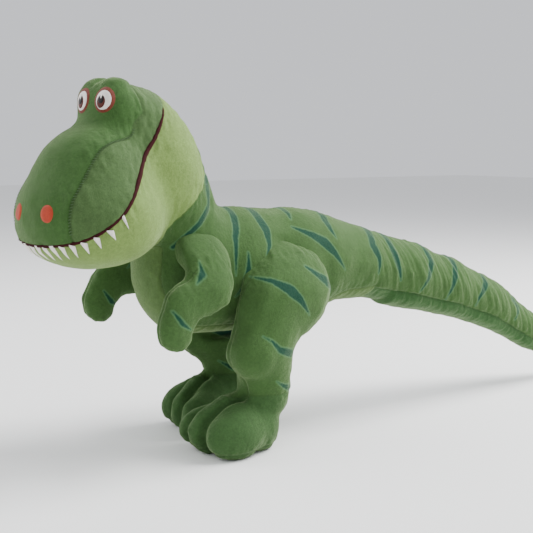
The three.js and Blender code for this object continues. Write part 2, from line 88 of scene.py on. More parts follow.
# ---- Colours, sRGB 0 to 255 ----------------------------------------------------------------------
BODY_GREEN = (60, 90, 45)
# The feet: the body's green painted a little darker, as painted shade.
FOOT_GREEN_PAINTED_SHADE = (56, 86, 45)
SNOUT_GREEN = (58, 90, 43)
CHEEK_GREEN = (69, 95, 53)
JAW_GREEN = (112, 138, 72)
BELLY_GREEN = (78, 104, 56)
GUSSET_GREEN = (50, 84, 42)
TEAL = (8, 56, 43)
HALO = (92, 138, 96)
MAROON = (54, 14, 16)
RED_BROWN = (112, 48, 32)
ORANGE_RED = (178, 60, 34)
SATIN_WHITE = (228, 222, 214)
NEAR_BLACK = (22, 14, 14)
EYE_BROWN = (84, 34, 26)


def linear(rgb):
    """A linear RGBA colour from an sRGB one."""
    channels = []
    for value in rgb:
        c = value / 255
        channels.append(c / 12.92 if c <= 0.04045 else ((c + 0.055) / 1.055) ** 2.4)
    return (*channels, 1.0)


# ---- Materials -------------------------------------------------------------------------------------
class Nodes:
    """A short way to add shader nodes to a new material."""

    def __init__(self, name):
        self.material = bpy.data.materials.new(name)
        self.material.use_nodes = True
        self.tree = self.material.node_tree
        self.tree.nodes.clear()
        self.shader = self.add("ShaderNodeBsdfPrincipled")
        output = self.add("ShaderNodeOutputMaterial")
        self.link(self.shader, "BSDF", output, "Surface")

    def add(self, kind, **settings):
        node = self.tree.nodes.new(kind)
        for key, value in settings.items():
            if hasattr(node, key):
                setattr(node, key, value)
            else:
                node.inputs[key].default_value = value
        return node

    def link(self, source, output, target, socket):
        self.tree.links.new(source.outputs[output], target.inputs[socket])

    def noise(self, scale, detail=3.0, roughness=0.6):
        """Noise over the object's own coordinates, scale in cells per metre."""
        place = self.add("ShaderNodeTexCoord")
        made = self.add("ShaderNodeTexNoise", Scale=scale, Detail=detail, Roughness=roughness)
        self.link(place, "Object", made, "Vector")
        return made

    def ramp(self, source, output, low, high, dark, light):
        """Maps a value from low..high to dark..light."""
        made = self.add("ShaderNodeMapRange")
        made.inputs["From Min"].default_value = low
        made.inputs["From Max"].default_value = high
        made.inputs["To Min"].default_value = dark
        made.inputs["To Max"].default_value = light
        self.link(source, output, made, "Value")
        return made

    def mix(self, kind, factor, first, second):
        """Mixes two colours. Each input is a colour or a (node, output) pair."""
        made = self.add("ShaderNodeMix", data_type="RGBA", blend_type=kind)
        for index, value in ((0, factor), (6, first), (7, second)):
            if isinstance(value, tuple) and isinstance(value[0], bpy.types.Node):
                self.tree.links.new(value[0].outputs[value[1]], made.inputs[index])
            else:
                made.inputs[index].default_value = value
        return made, 2

    def colour(self, shade):
        """Makes a (node, output) pair the surface colour."""
        source, output = shade
        self.link(source, output, self.shader, "Base Color")

    def bump(self, layers):
        """Stacks bumps. Each layer is (node, output, strength, distance in mm)."""
        below = None
        for source, output, strength, distance in layers:
            made = self.add("ShaderNodeBump", Strength=strength, Distance=distance * MM)
            self.link(source, output, made, "Height")
            if below is not None:
                self.link(below, "Normal", made, "Normal")
            below = made
        self.link(below, "Normal", self.shader, "Normal")


# Noise cells in a metre.
NAP_CELLS = 95          # broad shading where the nap lies different ways
CLUMP_CELLS = 420       # clumps of pile
PILE_CELLS = 1900       # single tufts


def velour_material():
    """Short-pile velour: the tint and the printed stripes come from the mesh."""
    m = Nodes("velour")
    m.shader.inputs["Roughness"].default_value = 0.85
    m.shader.inputs["Specular IOR Level"].default_value = 0.18
    m.shader.inputs["Sheen Weight"].default_value = 0.45
    m.shader.inputs["Sheen Roughness"].default_value = 0.35
    m.shader.inputs["Sheen Tint"].default_value = linear((205, 225, 170))
    tint = m.add("ShaderNodeAttribute", attribute_name="tint")
    stripe = m.add("ShaderNodeAttribute", attribute_name="stripe")
    seam = m.add("ShaderNodeAttribute", attribute_name="seam")
    nap = m.noise(NAP_CELLS, 3.0)
    clumps = m.noise(CLUMP_CELLS, 2.0)
    pile = m.noise(PILE_CELLS, 2.0, 0.75)
    shade = m.mix("MULTIPLY", 1.0, (tint, "Color"), (m.ramp(nap, "Fac", 0.3, 0.7, 0.92, 1.07), 0))
    shade = m.mix("MULTIPLY", 1.0, shade, (m.ramp(clumps, "Fac", 0.3, 0.7, 0.86, 1.1), 0))
    shade = m.mix("MULTIPLY", 1.0, shade, (m.ramp(pile, "Fac", 0.3, 0.7, 0.72, 1.2), 0))
    # The stripes have a ragged edge with a pale line round them.
    edge = m.add("ShaderNodeMath", operation="MULTIPLY_ADD")
    m.link(clumps, "Fac", edge, 0)
    edge.inputs[1].default_value = 1.6
    m.link(stripe, "Fac", edge, 2)
    halo = m.ramp(edge, 0, 1.2, 2.6, 0.4, 0.0)
    shade = m.mix("MIX", (halo, 0), shade, linear(HALO))
    thread = m.ramp(pile, "Fac", 0.3, 0.7, 0.65, 1.3)
    dye = m.mix("MULTIPLY", 1.0, linear(TEAL), (thread, 0))
    inside = m.ramp(edge, 0, 0.2, 1.5, 0.94, 0.0)
    shade = m.mix("MIX", (inside, 0), shade, dye)
    # Painted shade: the colour is darkened along the seams, where the cloth is pressed into grooves.
    shadow = m.ramp(seam, "Fac", 0.1, 1.6, 0.78, 1.0)
    shade = m.mix("MULTIPLY", 1.0, shade, (shadow, 0))
    m.colour(shade)
    m.bump([(nap, "Fac", 0.25, 1.2), (clumps, "Fac", 0.45, 0.7), (pile, "Fac", 0.8, 0.45)])
    return m.material


def thread_material(name, rgb, roughness=0.6, sheen=0.08):
    """Close embroidery thread."""
    m = Nodes(name)
    m.shader.inputs["Roughness"].default_value = roughness
    m.shader.inputs["Sheen Weight"].default_value = sheen
    m.shader.inputs["Specular IOR Level"].default_value = 0.2
    place = m.add("ShaderNodeTexCoord")
    rows = m.add("ShaderNodeTexWave", Scale=560.0, Distortion=1.4, bands_direction="DIAGONAL")
    m.link(place, "Object", rows, "Vector")
    cloud = m.noise(260, 3.0)
    shade = m.mix("MULTIPLY", 1.0, linear(rgb), (m.ramp(rows, "Fac", 0.0, 1.0, 0.72, 1.12), 0))
    shade = m.mix("MULTIPLY", 1.0, shade, (m.ramp(cloud, "Fac", 0.3, 0.7, 0.85, 1.12), 0))
    m.colour(shade)
    m.bump([(rows, "Fac", 0.5, 0.3), (cloud, "Fac", 0.3, 0.4)])
    return m.material


def satin_material():
    """White satin with a soft shine along its weave."""
    m = Nodes("white_satin")
    m.shader.inputs["Roughness"].default_value = 0.38
    m.shader.inputs["Sheen Weight"].default_value = 0.3
    place = m.add("ShaderNodeTexCoord")
    weave = m.add("ShaderNodeTexWave", Scale=900.0, Distortion=0.8, bands_direction="Z")
    m.link(place, "Object", weave, "Vector")
    cloud = m.noise(300, 3.0)
    shade = m.mix("MULTIPLY", 1.0, linear(SATIN_WHITE), (m.ramp(cloud, "Fac", 0.3, 0.7, 0.86, 1.03), 0))
    m.colour(shade)
    m.bump([(weave, "Fac", 0.25, 0.15), (cloud, "Fac", 0.3, 0.5)])
    return m.material


VELOUR = velour_material()
CORD = thread_material("mouth_thread", MAROON, 0.95, 0.0)
RING = thread_material("eye_ring_thread", RED_BROWN)
NOSTRIL = thread_material("nostril_thread", ORANGE_RED)
IRIS = thread_material("iris_thread", EYE_BROWN, 0.45)
PUPIL = thread_material("pupil_thread", NEAR_BLACK, 0.4)
SEWING = thread_material("sewing_thread", (70, 98, 58))
SATIN = satin_material()


# ---- Mesh helpers ------------------------------------------------------------------------------------
def new_object(name, mesh):
    made = bpy.data.objects.new(name, mesh)
    bpy.context.scene.collection.objects.link(made)
    return made


def mesh_from(name, points, faces, smooth=True):
    mesh = bpy.data.meshes.new(name)
    mesh.from_pydata([tuple(p) for p in points], [], faces)
    mesh.polygons.foreach_set("use_smooth", [smooth] * len(mesh.polygons))
    mesh.update()
    return mesh


def keep_modifiers(obj):
    """Makes what the modifiers do part of the mesh."""
    depsgraph = bpy.context.evaluated_depsgraph_get()
    made = bpy.data.meshes.new_from_object(obj.evaluated_get(depsgraph))
    obj.modifiers.clear()
    obj.data = made


def coordinates(mesh):
    flat = np.empty(len(mesh.vertices) * 3, np.float32)
    mesh.vertices.foreach_get("co", flat)
    return flat.reshape(-1, 3).astype(float)


def normals(mesh):
    flat = np.empty(len(mesh.vertices) * 3, np.float32)
    mesh.vertex_normals.foreach_get("vector", flat)
    return flat.reshape(-1, 3).astype(float)


def move_to(mesh, points):
    mesh.vertices.foreach_set("co", points.astype(np.float32).ravel())
    mesh.update()


def tree_of(meshes):
    """One search tree over several meshes."""
    points = []
    faces = []
    for mesh in meshes:
        start = len(points)
        points += [v.co.copy() for v in mesh.vertices]
        faces += [[start + i for i in p.vertices] for p in mesh.polygons]
    return BVHTree.FromPolygons(points, faces)


def closed_skin(name, nodes, fillers=(), voxel=VOXEL, smoothing=6):
    """One closed mesh round several CAD nodes, with their seams bridged and their facets smoothed."""
    bm = bmesh.new()
    for node in nodes:
        bm.from_mesh(frame["nodes"][node].data)
    for centre, radii in fillers:
        place = Matrix.Translation(centre) @ Matrix.Diagonal((*radii, 1))
        bmesh.ops.create_icosphere(bm, subdivisions=4, radius=1, matrix=place)
    mesh = bpy.data.meshes.new(name)
    bm.to_mesh(mesh)
    bm.free()
    obj = new_object(name, mesh)
    remesh = obj.modifiers.new("remesh", "REMESH")
    remesh.mode = "VOXEL"
    remesh.voxel_size = voxel * MM
    keep_modifiers(obj)
    keep_biggest_island(obj.data)
    smooth = obj.modifiers.new("smooth", "SMOOTH")
    smooth.factor = 0.5
    smooth.iterations = smoothing
    keep_modifiers(obj)
    return obj


def keep_biggest_island(mesh):
    bm = bmesh.new()
    bm.from_mesh(mesh)
    bm.verts.ensure_lookup_table()
    unseen = set(range(len(bm.verts)))
    islands = []
    while unseen:
        stack = [unseen.pop()]
        island = []
        while stack:
            i = stack.pop()
            island.append(i)
            for edge in bm.verts[i].link_edges:
                j = edge.other_vert(bm.verts[i]).index
                if j in unseen:
                    unseen.remove(j)
                    stack.append(j)
        islands.append(island)
    keep = set(max(islands, key=len))
    bmesh.ops.delete(bm, geom=[v for v in bm.verts if v.index not in keep], context="VERTS")
    bm.to_mesh(mesh)
    bm.free()


# ---- Sewn panels ----------------------------------------------------------------------------------------
class Panels:
    """The panels of a skin: which one a point lies on, and how far it is from the nearest seam."""

    def __init__(self, groups):
        self.names = list(groups)
        self.trees = [tree_of([frame["nodes"][n].data for n in nodes]) for nodes in groups.values()]

    def measure(self, points):
        """(index of the nearest panel, distance to the nearest seam in mm) of each point."""
        far = np.empty((len(points), len(self.trees)))
        for i, point in enumerate(points):
            for j, tree in enumerate(self.trees):
                hit = tree.find_nearest(point)
                far[i, j] = hit[3]
        order = np.sort(far, axis=1)
        seam = np.sqrt(np.maximum(order[:, 1] ** 2 - order[:, 0] ** 2, 0)) / MM
        return far.argmin(axis=1), seam


def fill(obj, panels):
    """Stuffs the skin: cloth under pressure, held at its seams."""
    before = coordinates(obj.data)
    _, seam = panels.measure(before)
    held = obj.vertex_groups.new(name="held")
    for i in np.flatnonzero(seam < VOXEL):
        held.add([int(i)], 1.0, "REPLACE")
    cloth = obj.modifiers.new("cloth", "CLOTH")
    settings = cloth.settings
    settings.use_pressure = True
    settings.uniform_pressure_force = PRESSURE
    settings.effector_weights.gravity = 0
    settings.vertex_group_mass = "held"
    settings.tension_stiffness = CLOTH_STIFFNESS
    settings.compression_stiffness = CLOTH_STIFFNESS
    settings.bending_stiffness = CLOTH_BENDING
    cloth.point_cache.frame_start = 1
    cloth.point_cache.frame_end = FILL_FRAMES
    for number in range(1, FILL_FRAMES + 1):
        bpy.context.scene.frame_set(number)
    keep_modifiers(obj)
    after = coordinates(obj.data)
    step = after - before
    length = np.linalg.norm(step, axis=1, keepdims=True)
    step *= np.minimum(1, MOST_SWELL * MM / np.maximum(length, 1e-9))
    move_to(obj.data, before + step)
    obj.vertex_groups.clear()
    bpy.context.scene.frame_set(1)


def subdivide(obj, levels):
    subsurf = obj.modifiers.new("subdivide", "SUBSURF")
    subsurf.levels = levels
    subsurf.render_levels = levels
    keep_modifiers(obj)


def wave(point, scale, seed):
    """Smooth noise from -1 to 1, scale in mm."""
    return noise.noise(Vector(point) / (scale * MM) + Vector((seed, seed * 1.7, seed * 0.6)))


def tail_wrinkle(point):
    """Pinched rings round the tail, from -1 to 1; none on the rest of the toy."""
    x, y, z = point
    amount = min(1, max(0, (y - TAIL_ROOT.y) / (30 * MM)))
    if amount == 0:
        return 0.0
    bent = (x * 0.12, y + 0.3 * z, z * 0.15)
    return amount * (wave(bent, 7, 4.4) + 0.5 * wave(bent, 3.4, 6.1))


def gusset_rise(panel, point):
    """How proud the tail's underside gusset stands in mm; it starts as a rounded step."""
    if panel != "gusset":
        return 0.0
    t = min(1, max(0, (point[1] - GUSSET_STEP * MM) / (GUSSET_RUN * MM)))
    return GUSSET_LOW + (GUSSET_HIGH - GUSSET_LOW) * t * t * (3 - 2 * t)


def sew(obj, panels, tint_of, stripes, lumps=0.7, creases=(), bulges=()):
    """Presses seams and creases in, gathers the cloth beside them, and stores tint, stripes and seams.

    Each crease is (line, depth in mm, half width in mm), each bulge (centre, height, radius).
    """
    mesh = obj.data
    points = coordinates(mesh)
    out = normals(mesh)
    panel, seam = panels.measure(points)
    groove = -SEAM_DEPTH * np.exp(-((seam / SEAM_HALF) ** 2))
    gather = np.exp(-seam / GATHER_REACH) * (1 - np.exp(-((seam / GATHER_START) ** 2)))
    folds = np.array([wave((p[0] * 0.5, p[1] * 1.6, p[2] * 0.8), FOLD_SIZE, 3.1) for p in points])
    wrinkled = [GUSSET_WRINKLE if panels.names[k] == "gusset" else 1.0 for k in panel]
    rings = np.array([tail_wrinkle(p) for p in points]) * wrinkled
    lump = np.array([wave(p, LUMP_SIZE, 8.3) + 0.5 * wave(p, LUMP_SMALL, 5.9) for p in points])
    for line, depth, half in creases:
        away = line_distance(points, np.array(line)) / MM
        groove -= depth * np.exp(-((away / half) ** 2))
    for centre, height, radius in bulges:
        away = np.linalg.norm(points - np.array(centre), axis=1) / MM
        groove += height * np.exp(-((away / radius) ** 4))
    proud = np.array([gusset_rise(panels.names[k], points[i]) for i, k in enumerate(panel)])
    groove += proud * (1 - np.exp(-((seam / (2 * SEAM_HALF)) ** 2)))
    rise = groove + PUCKER * gather * folds + WRINKLE * rings + lumps * lump
    move_to(mesh, points + out * (rise * MM)[:, None])
    colours = np.array([tint_of(panels.names[k]) for k in panel])
    mesh.color_attributes.new("tint", "FLOAT_COLOR", "POINT").data.foreach_set("color", colours.ravel())
    for name, values in (("stripe", stripe_distance(points, stripes)), ("seam", seam)):
        attribute = mesh.attributes.new(name, "FLOAT", "POINT")
        attribute.data.foreach_set("value", np.asarray(values, np.float32))
    mesh.polygons.foreach_set("use_smooth", [True] * len(mesh.polygons))
    mesh.materials.clear()
    mesh.materials.append(VELOUR)


def stripe_distance(points, stripes):
    """Distance in mm outside the nearest printed stripe, seen from the side; negative inside."""
    nearest = np.full(len(points), 50.0)
    flat = points[:, 1:] / MM
    for line, widths in stripes:
        line = np.array(line, float)
        lengths = np.linalg.norm(np.diff(line, axis=0), axis=1)
        total = lengths.sum()
        run = 0.0
        for a, b, length in zip(line[:-1], line[1:], lengths):
            t = np.clip(((flat - a) @ (b - a)) / length ** 2, 0, 1)
            away = np.linalg.norm(flat - a - t[:, None] * (b - a), axis=1)
            along = (run + t * length) / total
            half = np.interp(along, [0, 0.5, 1], widths) / 2
            nearest = np.minimum(nearest, away - half)
            run += length
    return nearest


def line_distance(points, line):
    """Distance of each point from a line of points, in the units of both."""
    nearest = np.full(len(points), np.inf)
    for a, b in zip(line[:-1], line[1:]):
        t = np.clip(((points - a) @ (b - a)) / ((b - a) @ (b - a)), 0, 1)
        nearest = np.minimum(nearest, np.linalg.norm(points - a - t[:, None] * (b - a), axis=1))
    return nearest


def cut(obj, point, normal, keep_front):
    """Keeps the part of a skin on one side of a plane and closes the cut."""
    bm = bmesh.new()
    bm.from_mesh(obj.data)
    geom = bm.verts[:] + bm.edges[:] + bm.faces[:]
    made = bmesh.ops.bisect_plane(
        bm, geom=geom, plane_co=point, plane_no=normal,
        clear_inner=keep_front, clear_outer=not keep_front)
    rim = [e for e in made["geom_cut"] if isinstance(e, bmesh.types.BMEdge)]
    cap = bmesh.ops.edgeloop_fill(bm, edges=rim)
    for face in cap["faces"]:
        face.smooth = False
    for edge in rim:
        if edge.is_valid:
            edge.smooth = False
    bm.to_mesh(obj.data)
    bm.free()


def copy_of(obj, name):
    return new_object(name, obj.data.copy())


# ---- Trunk: head, torso and tail are one run of cloth, cut where the toy bends --------------------------
# Lines are [y, z] in mm, seen from the side.
# With each line goes its width at its start, middle and end.
TRUNK_STRIPES = [
    ([[-140, 236], [-145, 215], [-153, 198], [-155, 182], [-156, 164]], (7, 6, 0)),
    ([[-143, 184], [-144, 168], [-147, 154], [-155, 144]], (1, 6, 0)),
    ([[-118, 230], [-119, 212], [-117, 203], [-118, 190], [-125, 178]], (8, 9, 0)),
    ([[-78, 222], [-82, 211]], (4, 4, 1)),
    ([[-85, 204], [-67, 196], [-53, 188], [-43, 178], [-29, 160]], (1, 10, 0)),
    ([[-34, 218], [-41, 208], [-41, 201], [-37, 191]], (8, 7, 0)),
    ([[22, 200], [14, 181], [20, 168], [20, 152]], (9, 8, 1)),
    ([[44, 192], [44, 174], [47, 159], [53, 142]], (8, 8, 1)),
    ([[98, 176], [97, 158], [91, 145], [81, 128]], (8, 7, 1)),
    ([[140, 166], [134, 147], [129, 135], [122, 116]], (8, 7, 1)),
    ([[190, 142], [185, 128], [172, 114], [169, 105]], (7, 7, 1)),
    ([[232, 106], [242, 95], [235, 82]], (6, 6, 1)),
    ([[286, 74], [290, 64], [284, 54]], (5, 5, 1)),
]
NECK_FOLD_DEPTH = 2.2
NECK_FOLD_HALF = 3.5
# The neck folds behind the collar: x beside the middle, y and z in mm.
NECK_FOLD = [(34, -166, 246), (38, -174, 228), (42, -185, 213), (43, -199, 200)]
COLLAR = ([[-180, 252], [-179, 228], [-191, 213], [-206, 200], [-214, 192]], (7, 6, 3))

TRUNK_PANELS = {
    "snout": ["snout_panel"],
    "cheek_left": ["cheek_panel_left"],
    "cheek_right": ["cheek_panel_right"],
    "jaw": ["jaw_panel"],
    "nape": ["nape_panel"],
    "left": ["side_panel_left", "tail_root_panel_left", "tail_tip_panel_left"],
    "right": ["side_panel_right", "tail_root_panel_right", "tail_tip_panel_right"],
    "belly": ["belly_panel"],
    "gusset": ["tail_root_gusset", "tail_tip_gusset"],
}
HEAD_NODES = [
    "head_stuffing", "snout_panel", "cheek_panel_left", "cheek_panel_right", "jaw_panel", "nape_panel"]
TORSO_NODES = ["torso_stuffing", "side_panel_left", "side_panel_right", "belly_panel"]
TAIL_PARTS = ["stuffing", "panel_left", "panel_right", "gusset"]
TAIL_ROOT_NODES = [f"tail_root_{part}" for part in TAIL_PARTS]
TAIL_TIP_NODES = [f"tail_tip_{part}" for part in TAIL_PARTS]

# Fills the pockets that the arms and legs sit in, [centre, radii] in mm.
FLANKS = [
    ([0, -183.7, 165], [53, 47, 59]),
    ([0, -131.7, 164], [53, 59, 60]),
    ([0, -71.7, 166], [50, 61, 55]),
]


def trunk_tint(panel):
    """Cloth colour of a trunk panel."""
    colours = {
        "snout": SNOUT_GREEN,
        "cheek_left": CHEEK_GREEN,
        "cheek_right": CHEEK_GREEN,
        "jaw": JAW_GREEN,
        "nape": BODY_GREEN,
        "left": BODY_GREEN,
        "right": BODY_GREEN,
        "belly": BELLY_GREEN,
        "gusset": GUSSET_GREEN,
    }
    return linear(colours[panel])


HEAD_PLACE = Matrix.Translation(NECK) @ Matrix.Rotation(HEAD_TURN, 4, "Z")


def on_head(x, y, z):
    """A point given in mm from the neck, with the head looking straight ahead."""
    return HEAD_PLACE @ (Vector((x, y, z)) * MM)


trunk_panels = Panels(TRUNK_PANELS)
trunk = closed_skin(
    "trunk",
    HEAD_NODES + TORSO_NODES + TAIL_ROOT_NODES + TAIL_TIP_NODES,
    [(Vector((MIDDLE_X, c[1] * MM, c[2] * MM)), Vector(r) * MM) for c, r in FLANKS],
)
fill(trunk, trunk_panels)
subdivide(trunk, 2)
neck_folds = [
    ([Vector((MIDDLE_X + side * x * MM, y * MM, z * MM)) for x, y, z in NECK_FOLD],
     NECK_FOLD_DEPTH, NECK_FOLD_HALF)
    for side in (1, -1)
]
brow_mounds = [(on_head(x, -76, 119), 2.6, 11.0) for x in (13, -12)]
crown_gather = [
    ([on_head(x, -88, 112), on_head(x, -74, 124), on_head(x, -56, 127)], 1.6, 2.2)
    for x in (-3, 5)
]
sew(
    trunk, trunk_panels, trunk_tint, [*TRUNK_STRIPES, COLLAR], 0.8,
    neck_folds + crown_gather, brow_mounds)

# The bend across the neck runs from low at the nape to forward under the jaw.
NECK_WAY = Vector((0, -0.64, 0.77)).normalized()
NECK_START = NECK - NECK_WAY * 16 * MM
TAIL_WAY = (TAIL_BEND - TAIL_ROOT).normalized()
ROOT_START = TAIL_ROOT - Vector((0, 1, 0)) * 28 * MM
ROOT_END = TAIL_ROOT + Vector((0, 1, 0)) * 32 * MM
BEND_END = TAIL_BEND + TAIL_WAY * 28 * MM

head = copy_of(trunk, "head_velour")
cut(head, NECK_START, NECK_WAY, True)
body = copy_of(trunk, "torso_velour")
cut(body, NECK_START, NECK_WAY, False)
cut(body, ROOT_START, Vector((0, 1, 0)), False)
tail_front = copy_of(trunk, "tail_front_velour")
cut(tail_front, ROOT_START, Vector((0, 1, 0)), True)
cut(tail_front, ROOT_END, Vector((0, 1, 0)), False)
tail_middle = copy_of(trunk, "tail_middle_velour")
cut(tail_middle, ROOT_END, Vector((0, 1, 0)), True)
cut(tail_middle, BEND_END, TAIL_WAY, False)
tail_end = copy_of(trunk, "tail_end_velour")
cut(tail_end, BEND_END, TAIL_WAY, True)

head_skin = tree_of([head.data])
bpy.data.objects.remove(trunk)

for piece, nodes in (
    (head, HEAD_NODES),
    (body, TORSO_NODES),
    (tail_front, TAIL_ROOT_NODES),
    (tail_middle, TAIL_ROOT_NODES),
    (tail_end, TAIL_TIP_NODES),
):
    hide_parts(*nodes)
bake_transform(head)
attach(body, "torso")
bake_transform(tail_front)
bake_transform(tail_middle)
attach(tail_end, "tail_tip")


# ---- Face -----------------------------------------------------------------------------------------------
MUZZLE_AXIS = (0, -99)          # x, y of the middle of the muzzle, from the neck
RAY_START = 110                 # outside the head, from any point near its middle
RAY_REACH = 0.2                 # in metres
SIGN = {"left": 1, "right": -1}


def facing(degrees):
    """The level direction at an angle to the head's left of straight ahead."""
    turn = HEAD_TURN + math.radians(degrees)
    return Vector((math.sin(turn), -math.cos(turn), 0))


def on_skin(point, way, lift):
    """Where a line through a point along a direction meets the head from outside, raised by lift mm."""
    hit = head_skin.ray_cast(point + way * RAY_START * MM, -way, RAY_REACH)
    place = hit[0] if hit[0] is not None else point
    return place + way * lift * MM


def decal(name, centre, way, size, lift, material, shift=(0, 0)):
    """An oval of thread on the head: size is its radii in mm, shift its offset across and up."""
    rings = 7
    spokes = 44
    up = Vector((0, 0, 1))
    across = up.cross(way)
    points = [on_skin(centre + (across * shift[0] + up * shift[1]) * MM, way, lift)]
    for ring in range(1, rings + 1):
        r = ring / rings
        for spoke in range(spokes):
            turn = 2 * math.pi * spoke / spokes
            wobble = 1 + 0.02 * wave((turn, r, 0), 260, size[0])
            a = shift[0] + size[0] * r * math.cos(turn) * wobble
            b = shift[1] + size[1] * r * math.sin(turn) * wobble
            height = lift * (1 - r ** 6) - 0.5 * r ** 12
            points.append(on_skin(centre + (across * a + up * b) * MM, way, height))
    faces = [(0, 1 + k, 1 + (k + 1) % spokes) for k in range(spokes)]
    for ring in range(rings - 1):
        start = 1 + ring * spokes
        for k in range(spokes):
            n = (k + 1) % spokes
            faces.append((start + k, start + spokes + k, start + spokes + n, start + n))
    made = new_object(name, mesh_from(name, points, faces))
    made.data.materials.append(material)
    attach(made, "head")
    return made


# Each eye: x, the way it faces in degrees, and how far the iris looks aside.
EYES = {"left": (13.2, 19, -1.6), "right": (-10.2, 0, -0.4)}
EYE_Y = -84
EYE_Z = 101
GAZE_DOWN = -1.3
# The layers of an eye: radii across and up, height, material. Those inside the white follow the gaze.
EYE_LAYERS = {
    "ring": ((10.6, 11.6), 0.9, RING),
    "white": ((8.6, 9.4), 1.5, SATIN),
    "iris": ((5.6, 6.8), 1.9, IRIS),
    "pupil": ((3.9, 4.6), 2.3, PUPIL),
    "glint": ((1.0, 2.6), 2.7, SATIN),
}
NOSTRIL_PLACE = (18, -148, 10)
NOSTRIL_FACING = 12

for side, sign in SIGN.items():
    eye_x, eye_turn, aside = EYES[side]
    eye = on_head(eye_x, EYE_Y, EYE_Z)
    shifts = {
        "ring": (0, 0),
        "white": (0, -0.2),
        "iris": (aside, GAZE_DOWN),
        "pupil": (aside, GAZE_DOWN + 1.5),
        "glint": (aside + 0.3, GAZE_DOWN + 4.2),
    }
    for layer, (size, height, material) in EYE_LAYERS.items():
        decal(
            f"eye_{layer}_{side}", eye, facing(eye_turn), size, height, material, shifts[layer])
    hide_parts(f"eye_patch_{side}")
    x, y, z = NOSTRIL_PLACE
    nostril = decal(
        f"nostril_{side}", on_head(sign * x, y, z), facing(sign * NOSTRIL_FACING), (6.8, 7.6), 1.0, NOSTRIL)
    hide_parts(f"nostril_patch_{side}")


TOOTH_RISE = 2.6        # the satin starts this far above the CAD tooth, tucked under the mouth cord
TOOTH_WIDER = 1.06      # the satin's width and length, as shares of the CAD tooth's
TOOTH_LONGER = 1.16


def tooth(node):
    """A padded satin triangle where the CAD tooth is: its two highest far corners and its tip."""
    corners = [v.co.copy() for v in frame["nodes"][node].data.vertices]
    tip = min(corners, key=lambda p: p.z)
    top = max(p.z for p in corners)
    upper = [p for p in corners if p.z > tip.z + 0.55 * (top - tip.z)]
    one, two = max(((a, b) for a in upper for b in upper), key=lambda pair: (pair[0] - pair[1]).length)
    axis = on_head(*MUZZLE_AXIS, 0)
    way = Vector((tip.x - axis.x, tip.y - axis.y, 0)).normalized()
    base = (one + two) / 2 + Vector((0, 0, TOOTH_RISE * MM))
    half = (two - one) / 2 * TOOTH_WIDER
    reach = (tip - base) * TOOTH_LONGER
    rows = 9
    columns = 8
    points = []
    for row in range(rows + 1):
        t = row / rows
        for column in range(columns + 1):
            s = 2 * column / columns - 1
            flat = base + reach * t + half * s * (1 - t) ** 0.85
            puffed = 0.35 + 1.5 * (1 - s * s) * (1 - t) ** 0.6 - 0.9 * abs(s) ** 8
            points.append(on_skin(flat, way, puffed))
    faces = []
    for row in range(rows):
        for column in range(columns):
            k = row * (columns + 1) + column
            faces.append((k, k + 1, k + columns + 2, k + columns + 1))
    made = new_object(f"satin_{node}", mesh_from(node, points, faces))
    made.data.materials.append(SATIN)
    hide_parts(node)
    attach(made, "head")


for node in frame["nodes"]:
    if node.startswith("tooth_"):
        tooth(node)

# The lip seam seen from the side, [y, z] in mm from the neck.
LIP_LINE = [
    (-190, -21), (-154, -18), (-141, -13), (-127, -4), (-110, 11), (-90, 34), (-61, 68), (-42, 96)]


def lip_height(y):
    ys, zs = zip(*LIP_LINE)
    return float(np.interp(y, ys, zs))


def lip_round_muzzle(degrees):
    """The lip on the skin, at an angle from straight ahead round the muzzle."""
    way = facing(degrees)
    z = -18.0
    for _ in range(14):
        point = on_skin(on_head(*MUZZLE_AXIS, z), way, 0)
        z = (z + lip_height((HEAD_PLACE.inverted() @ point).y / MM)) / 2
    return point


def lip_on_cheek(y, sign):
    """The lip on the skin beside and above the muzzle."""
    side_way = (HEAD_PLACE.to_3x3() @ Vector((sign, 0, 0))).normalized()
    return on_skin(on_head(0, y, lip_height(y)), side_way, 0)


def tube(name, path, radius_at, material, sides=10):
    """A closed round tube through points; radius_at gives its radius in mm along it from 0 to 1."""
    points = []
    faces = []
    last = len(path) - 1
    for i, point in enumerate(path):
        along = (path[min(i + 1, last)] - path[max(i - 1, 0)]).normalized()
        across = along.cross(Vector((0.31, 0.22, 0.92))).normalized()
        other = along.cross(across)
        for k in range(sides):
            turn = 2 * math.pi * k / sides
            spoke = across * math.cos(turn) + other * math.sin(turn)
            points.append(point + spoke * radius_at(i / last) * MM)
    for i in range(last):
        for k in range(sides):
            n = (k + 1) % sides
            faces.append((i * sides + k, i * sides + n, (i + 1) * sides + n, (i + 1) * sides + k))
    faces.append(tuple(range(sides))[::-1])
    faces.append(tuple(last * sides + k for k in range(sides)))
    made = new_object(name, mesh_from(name, points, faces))
    made.data.materials.append(material)
    return made


def evenly(path, step):
    """Points along a path at an even step in mm."""
    lengths = [0.0]
    for a, b in zip(path[:-1], path[1:]):
        lengths.append(lengths[-1] + (b - a).length)
    count = max(2, round(lengths[-1] / (step * MM)))
    wanted = np.linspace(0, lengths[-1], count + 1)
    columns = [np.interp(wanted, lengths, [p[k] for p in path]) for k in range(3)]
    return [Vector(p) for p in zip(*columns)]


cheek_rows = np.linspace(-42, -98, 29)
lip_path = (
    [lip_on_cheek(y, -1) for y in cheek_rows]
    + [lip_round_muzzle(a) for a in range(-88, 89, 4)]
    + [lip_on_cheek(y, 1) for y in cheek_rows[::-1]]
)
lip_path = evenly(lip_path, 2.5)


def cord_radius(t):
    """The mouth cord is thickest up the cheeks and thin at its ends."""
    end = min(t, 1 - t)
    thick = 1.35 + 0.85 * math.exp(-((end - 0.16) / 0.09) ** 2)
    return thick - 1.0 * math.exp(-end / 0.012) + 0.5 * wave((t, 0, 0), 7, 2.2)


mouth = tube("mouth_cord_thread", lip_path, cord_radius, CORD)
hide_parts("mouth_cord")
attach(mouth, "head")

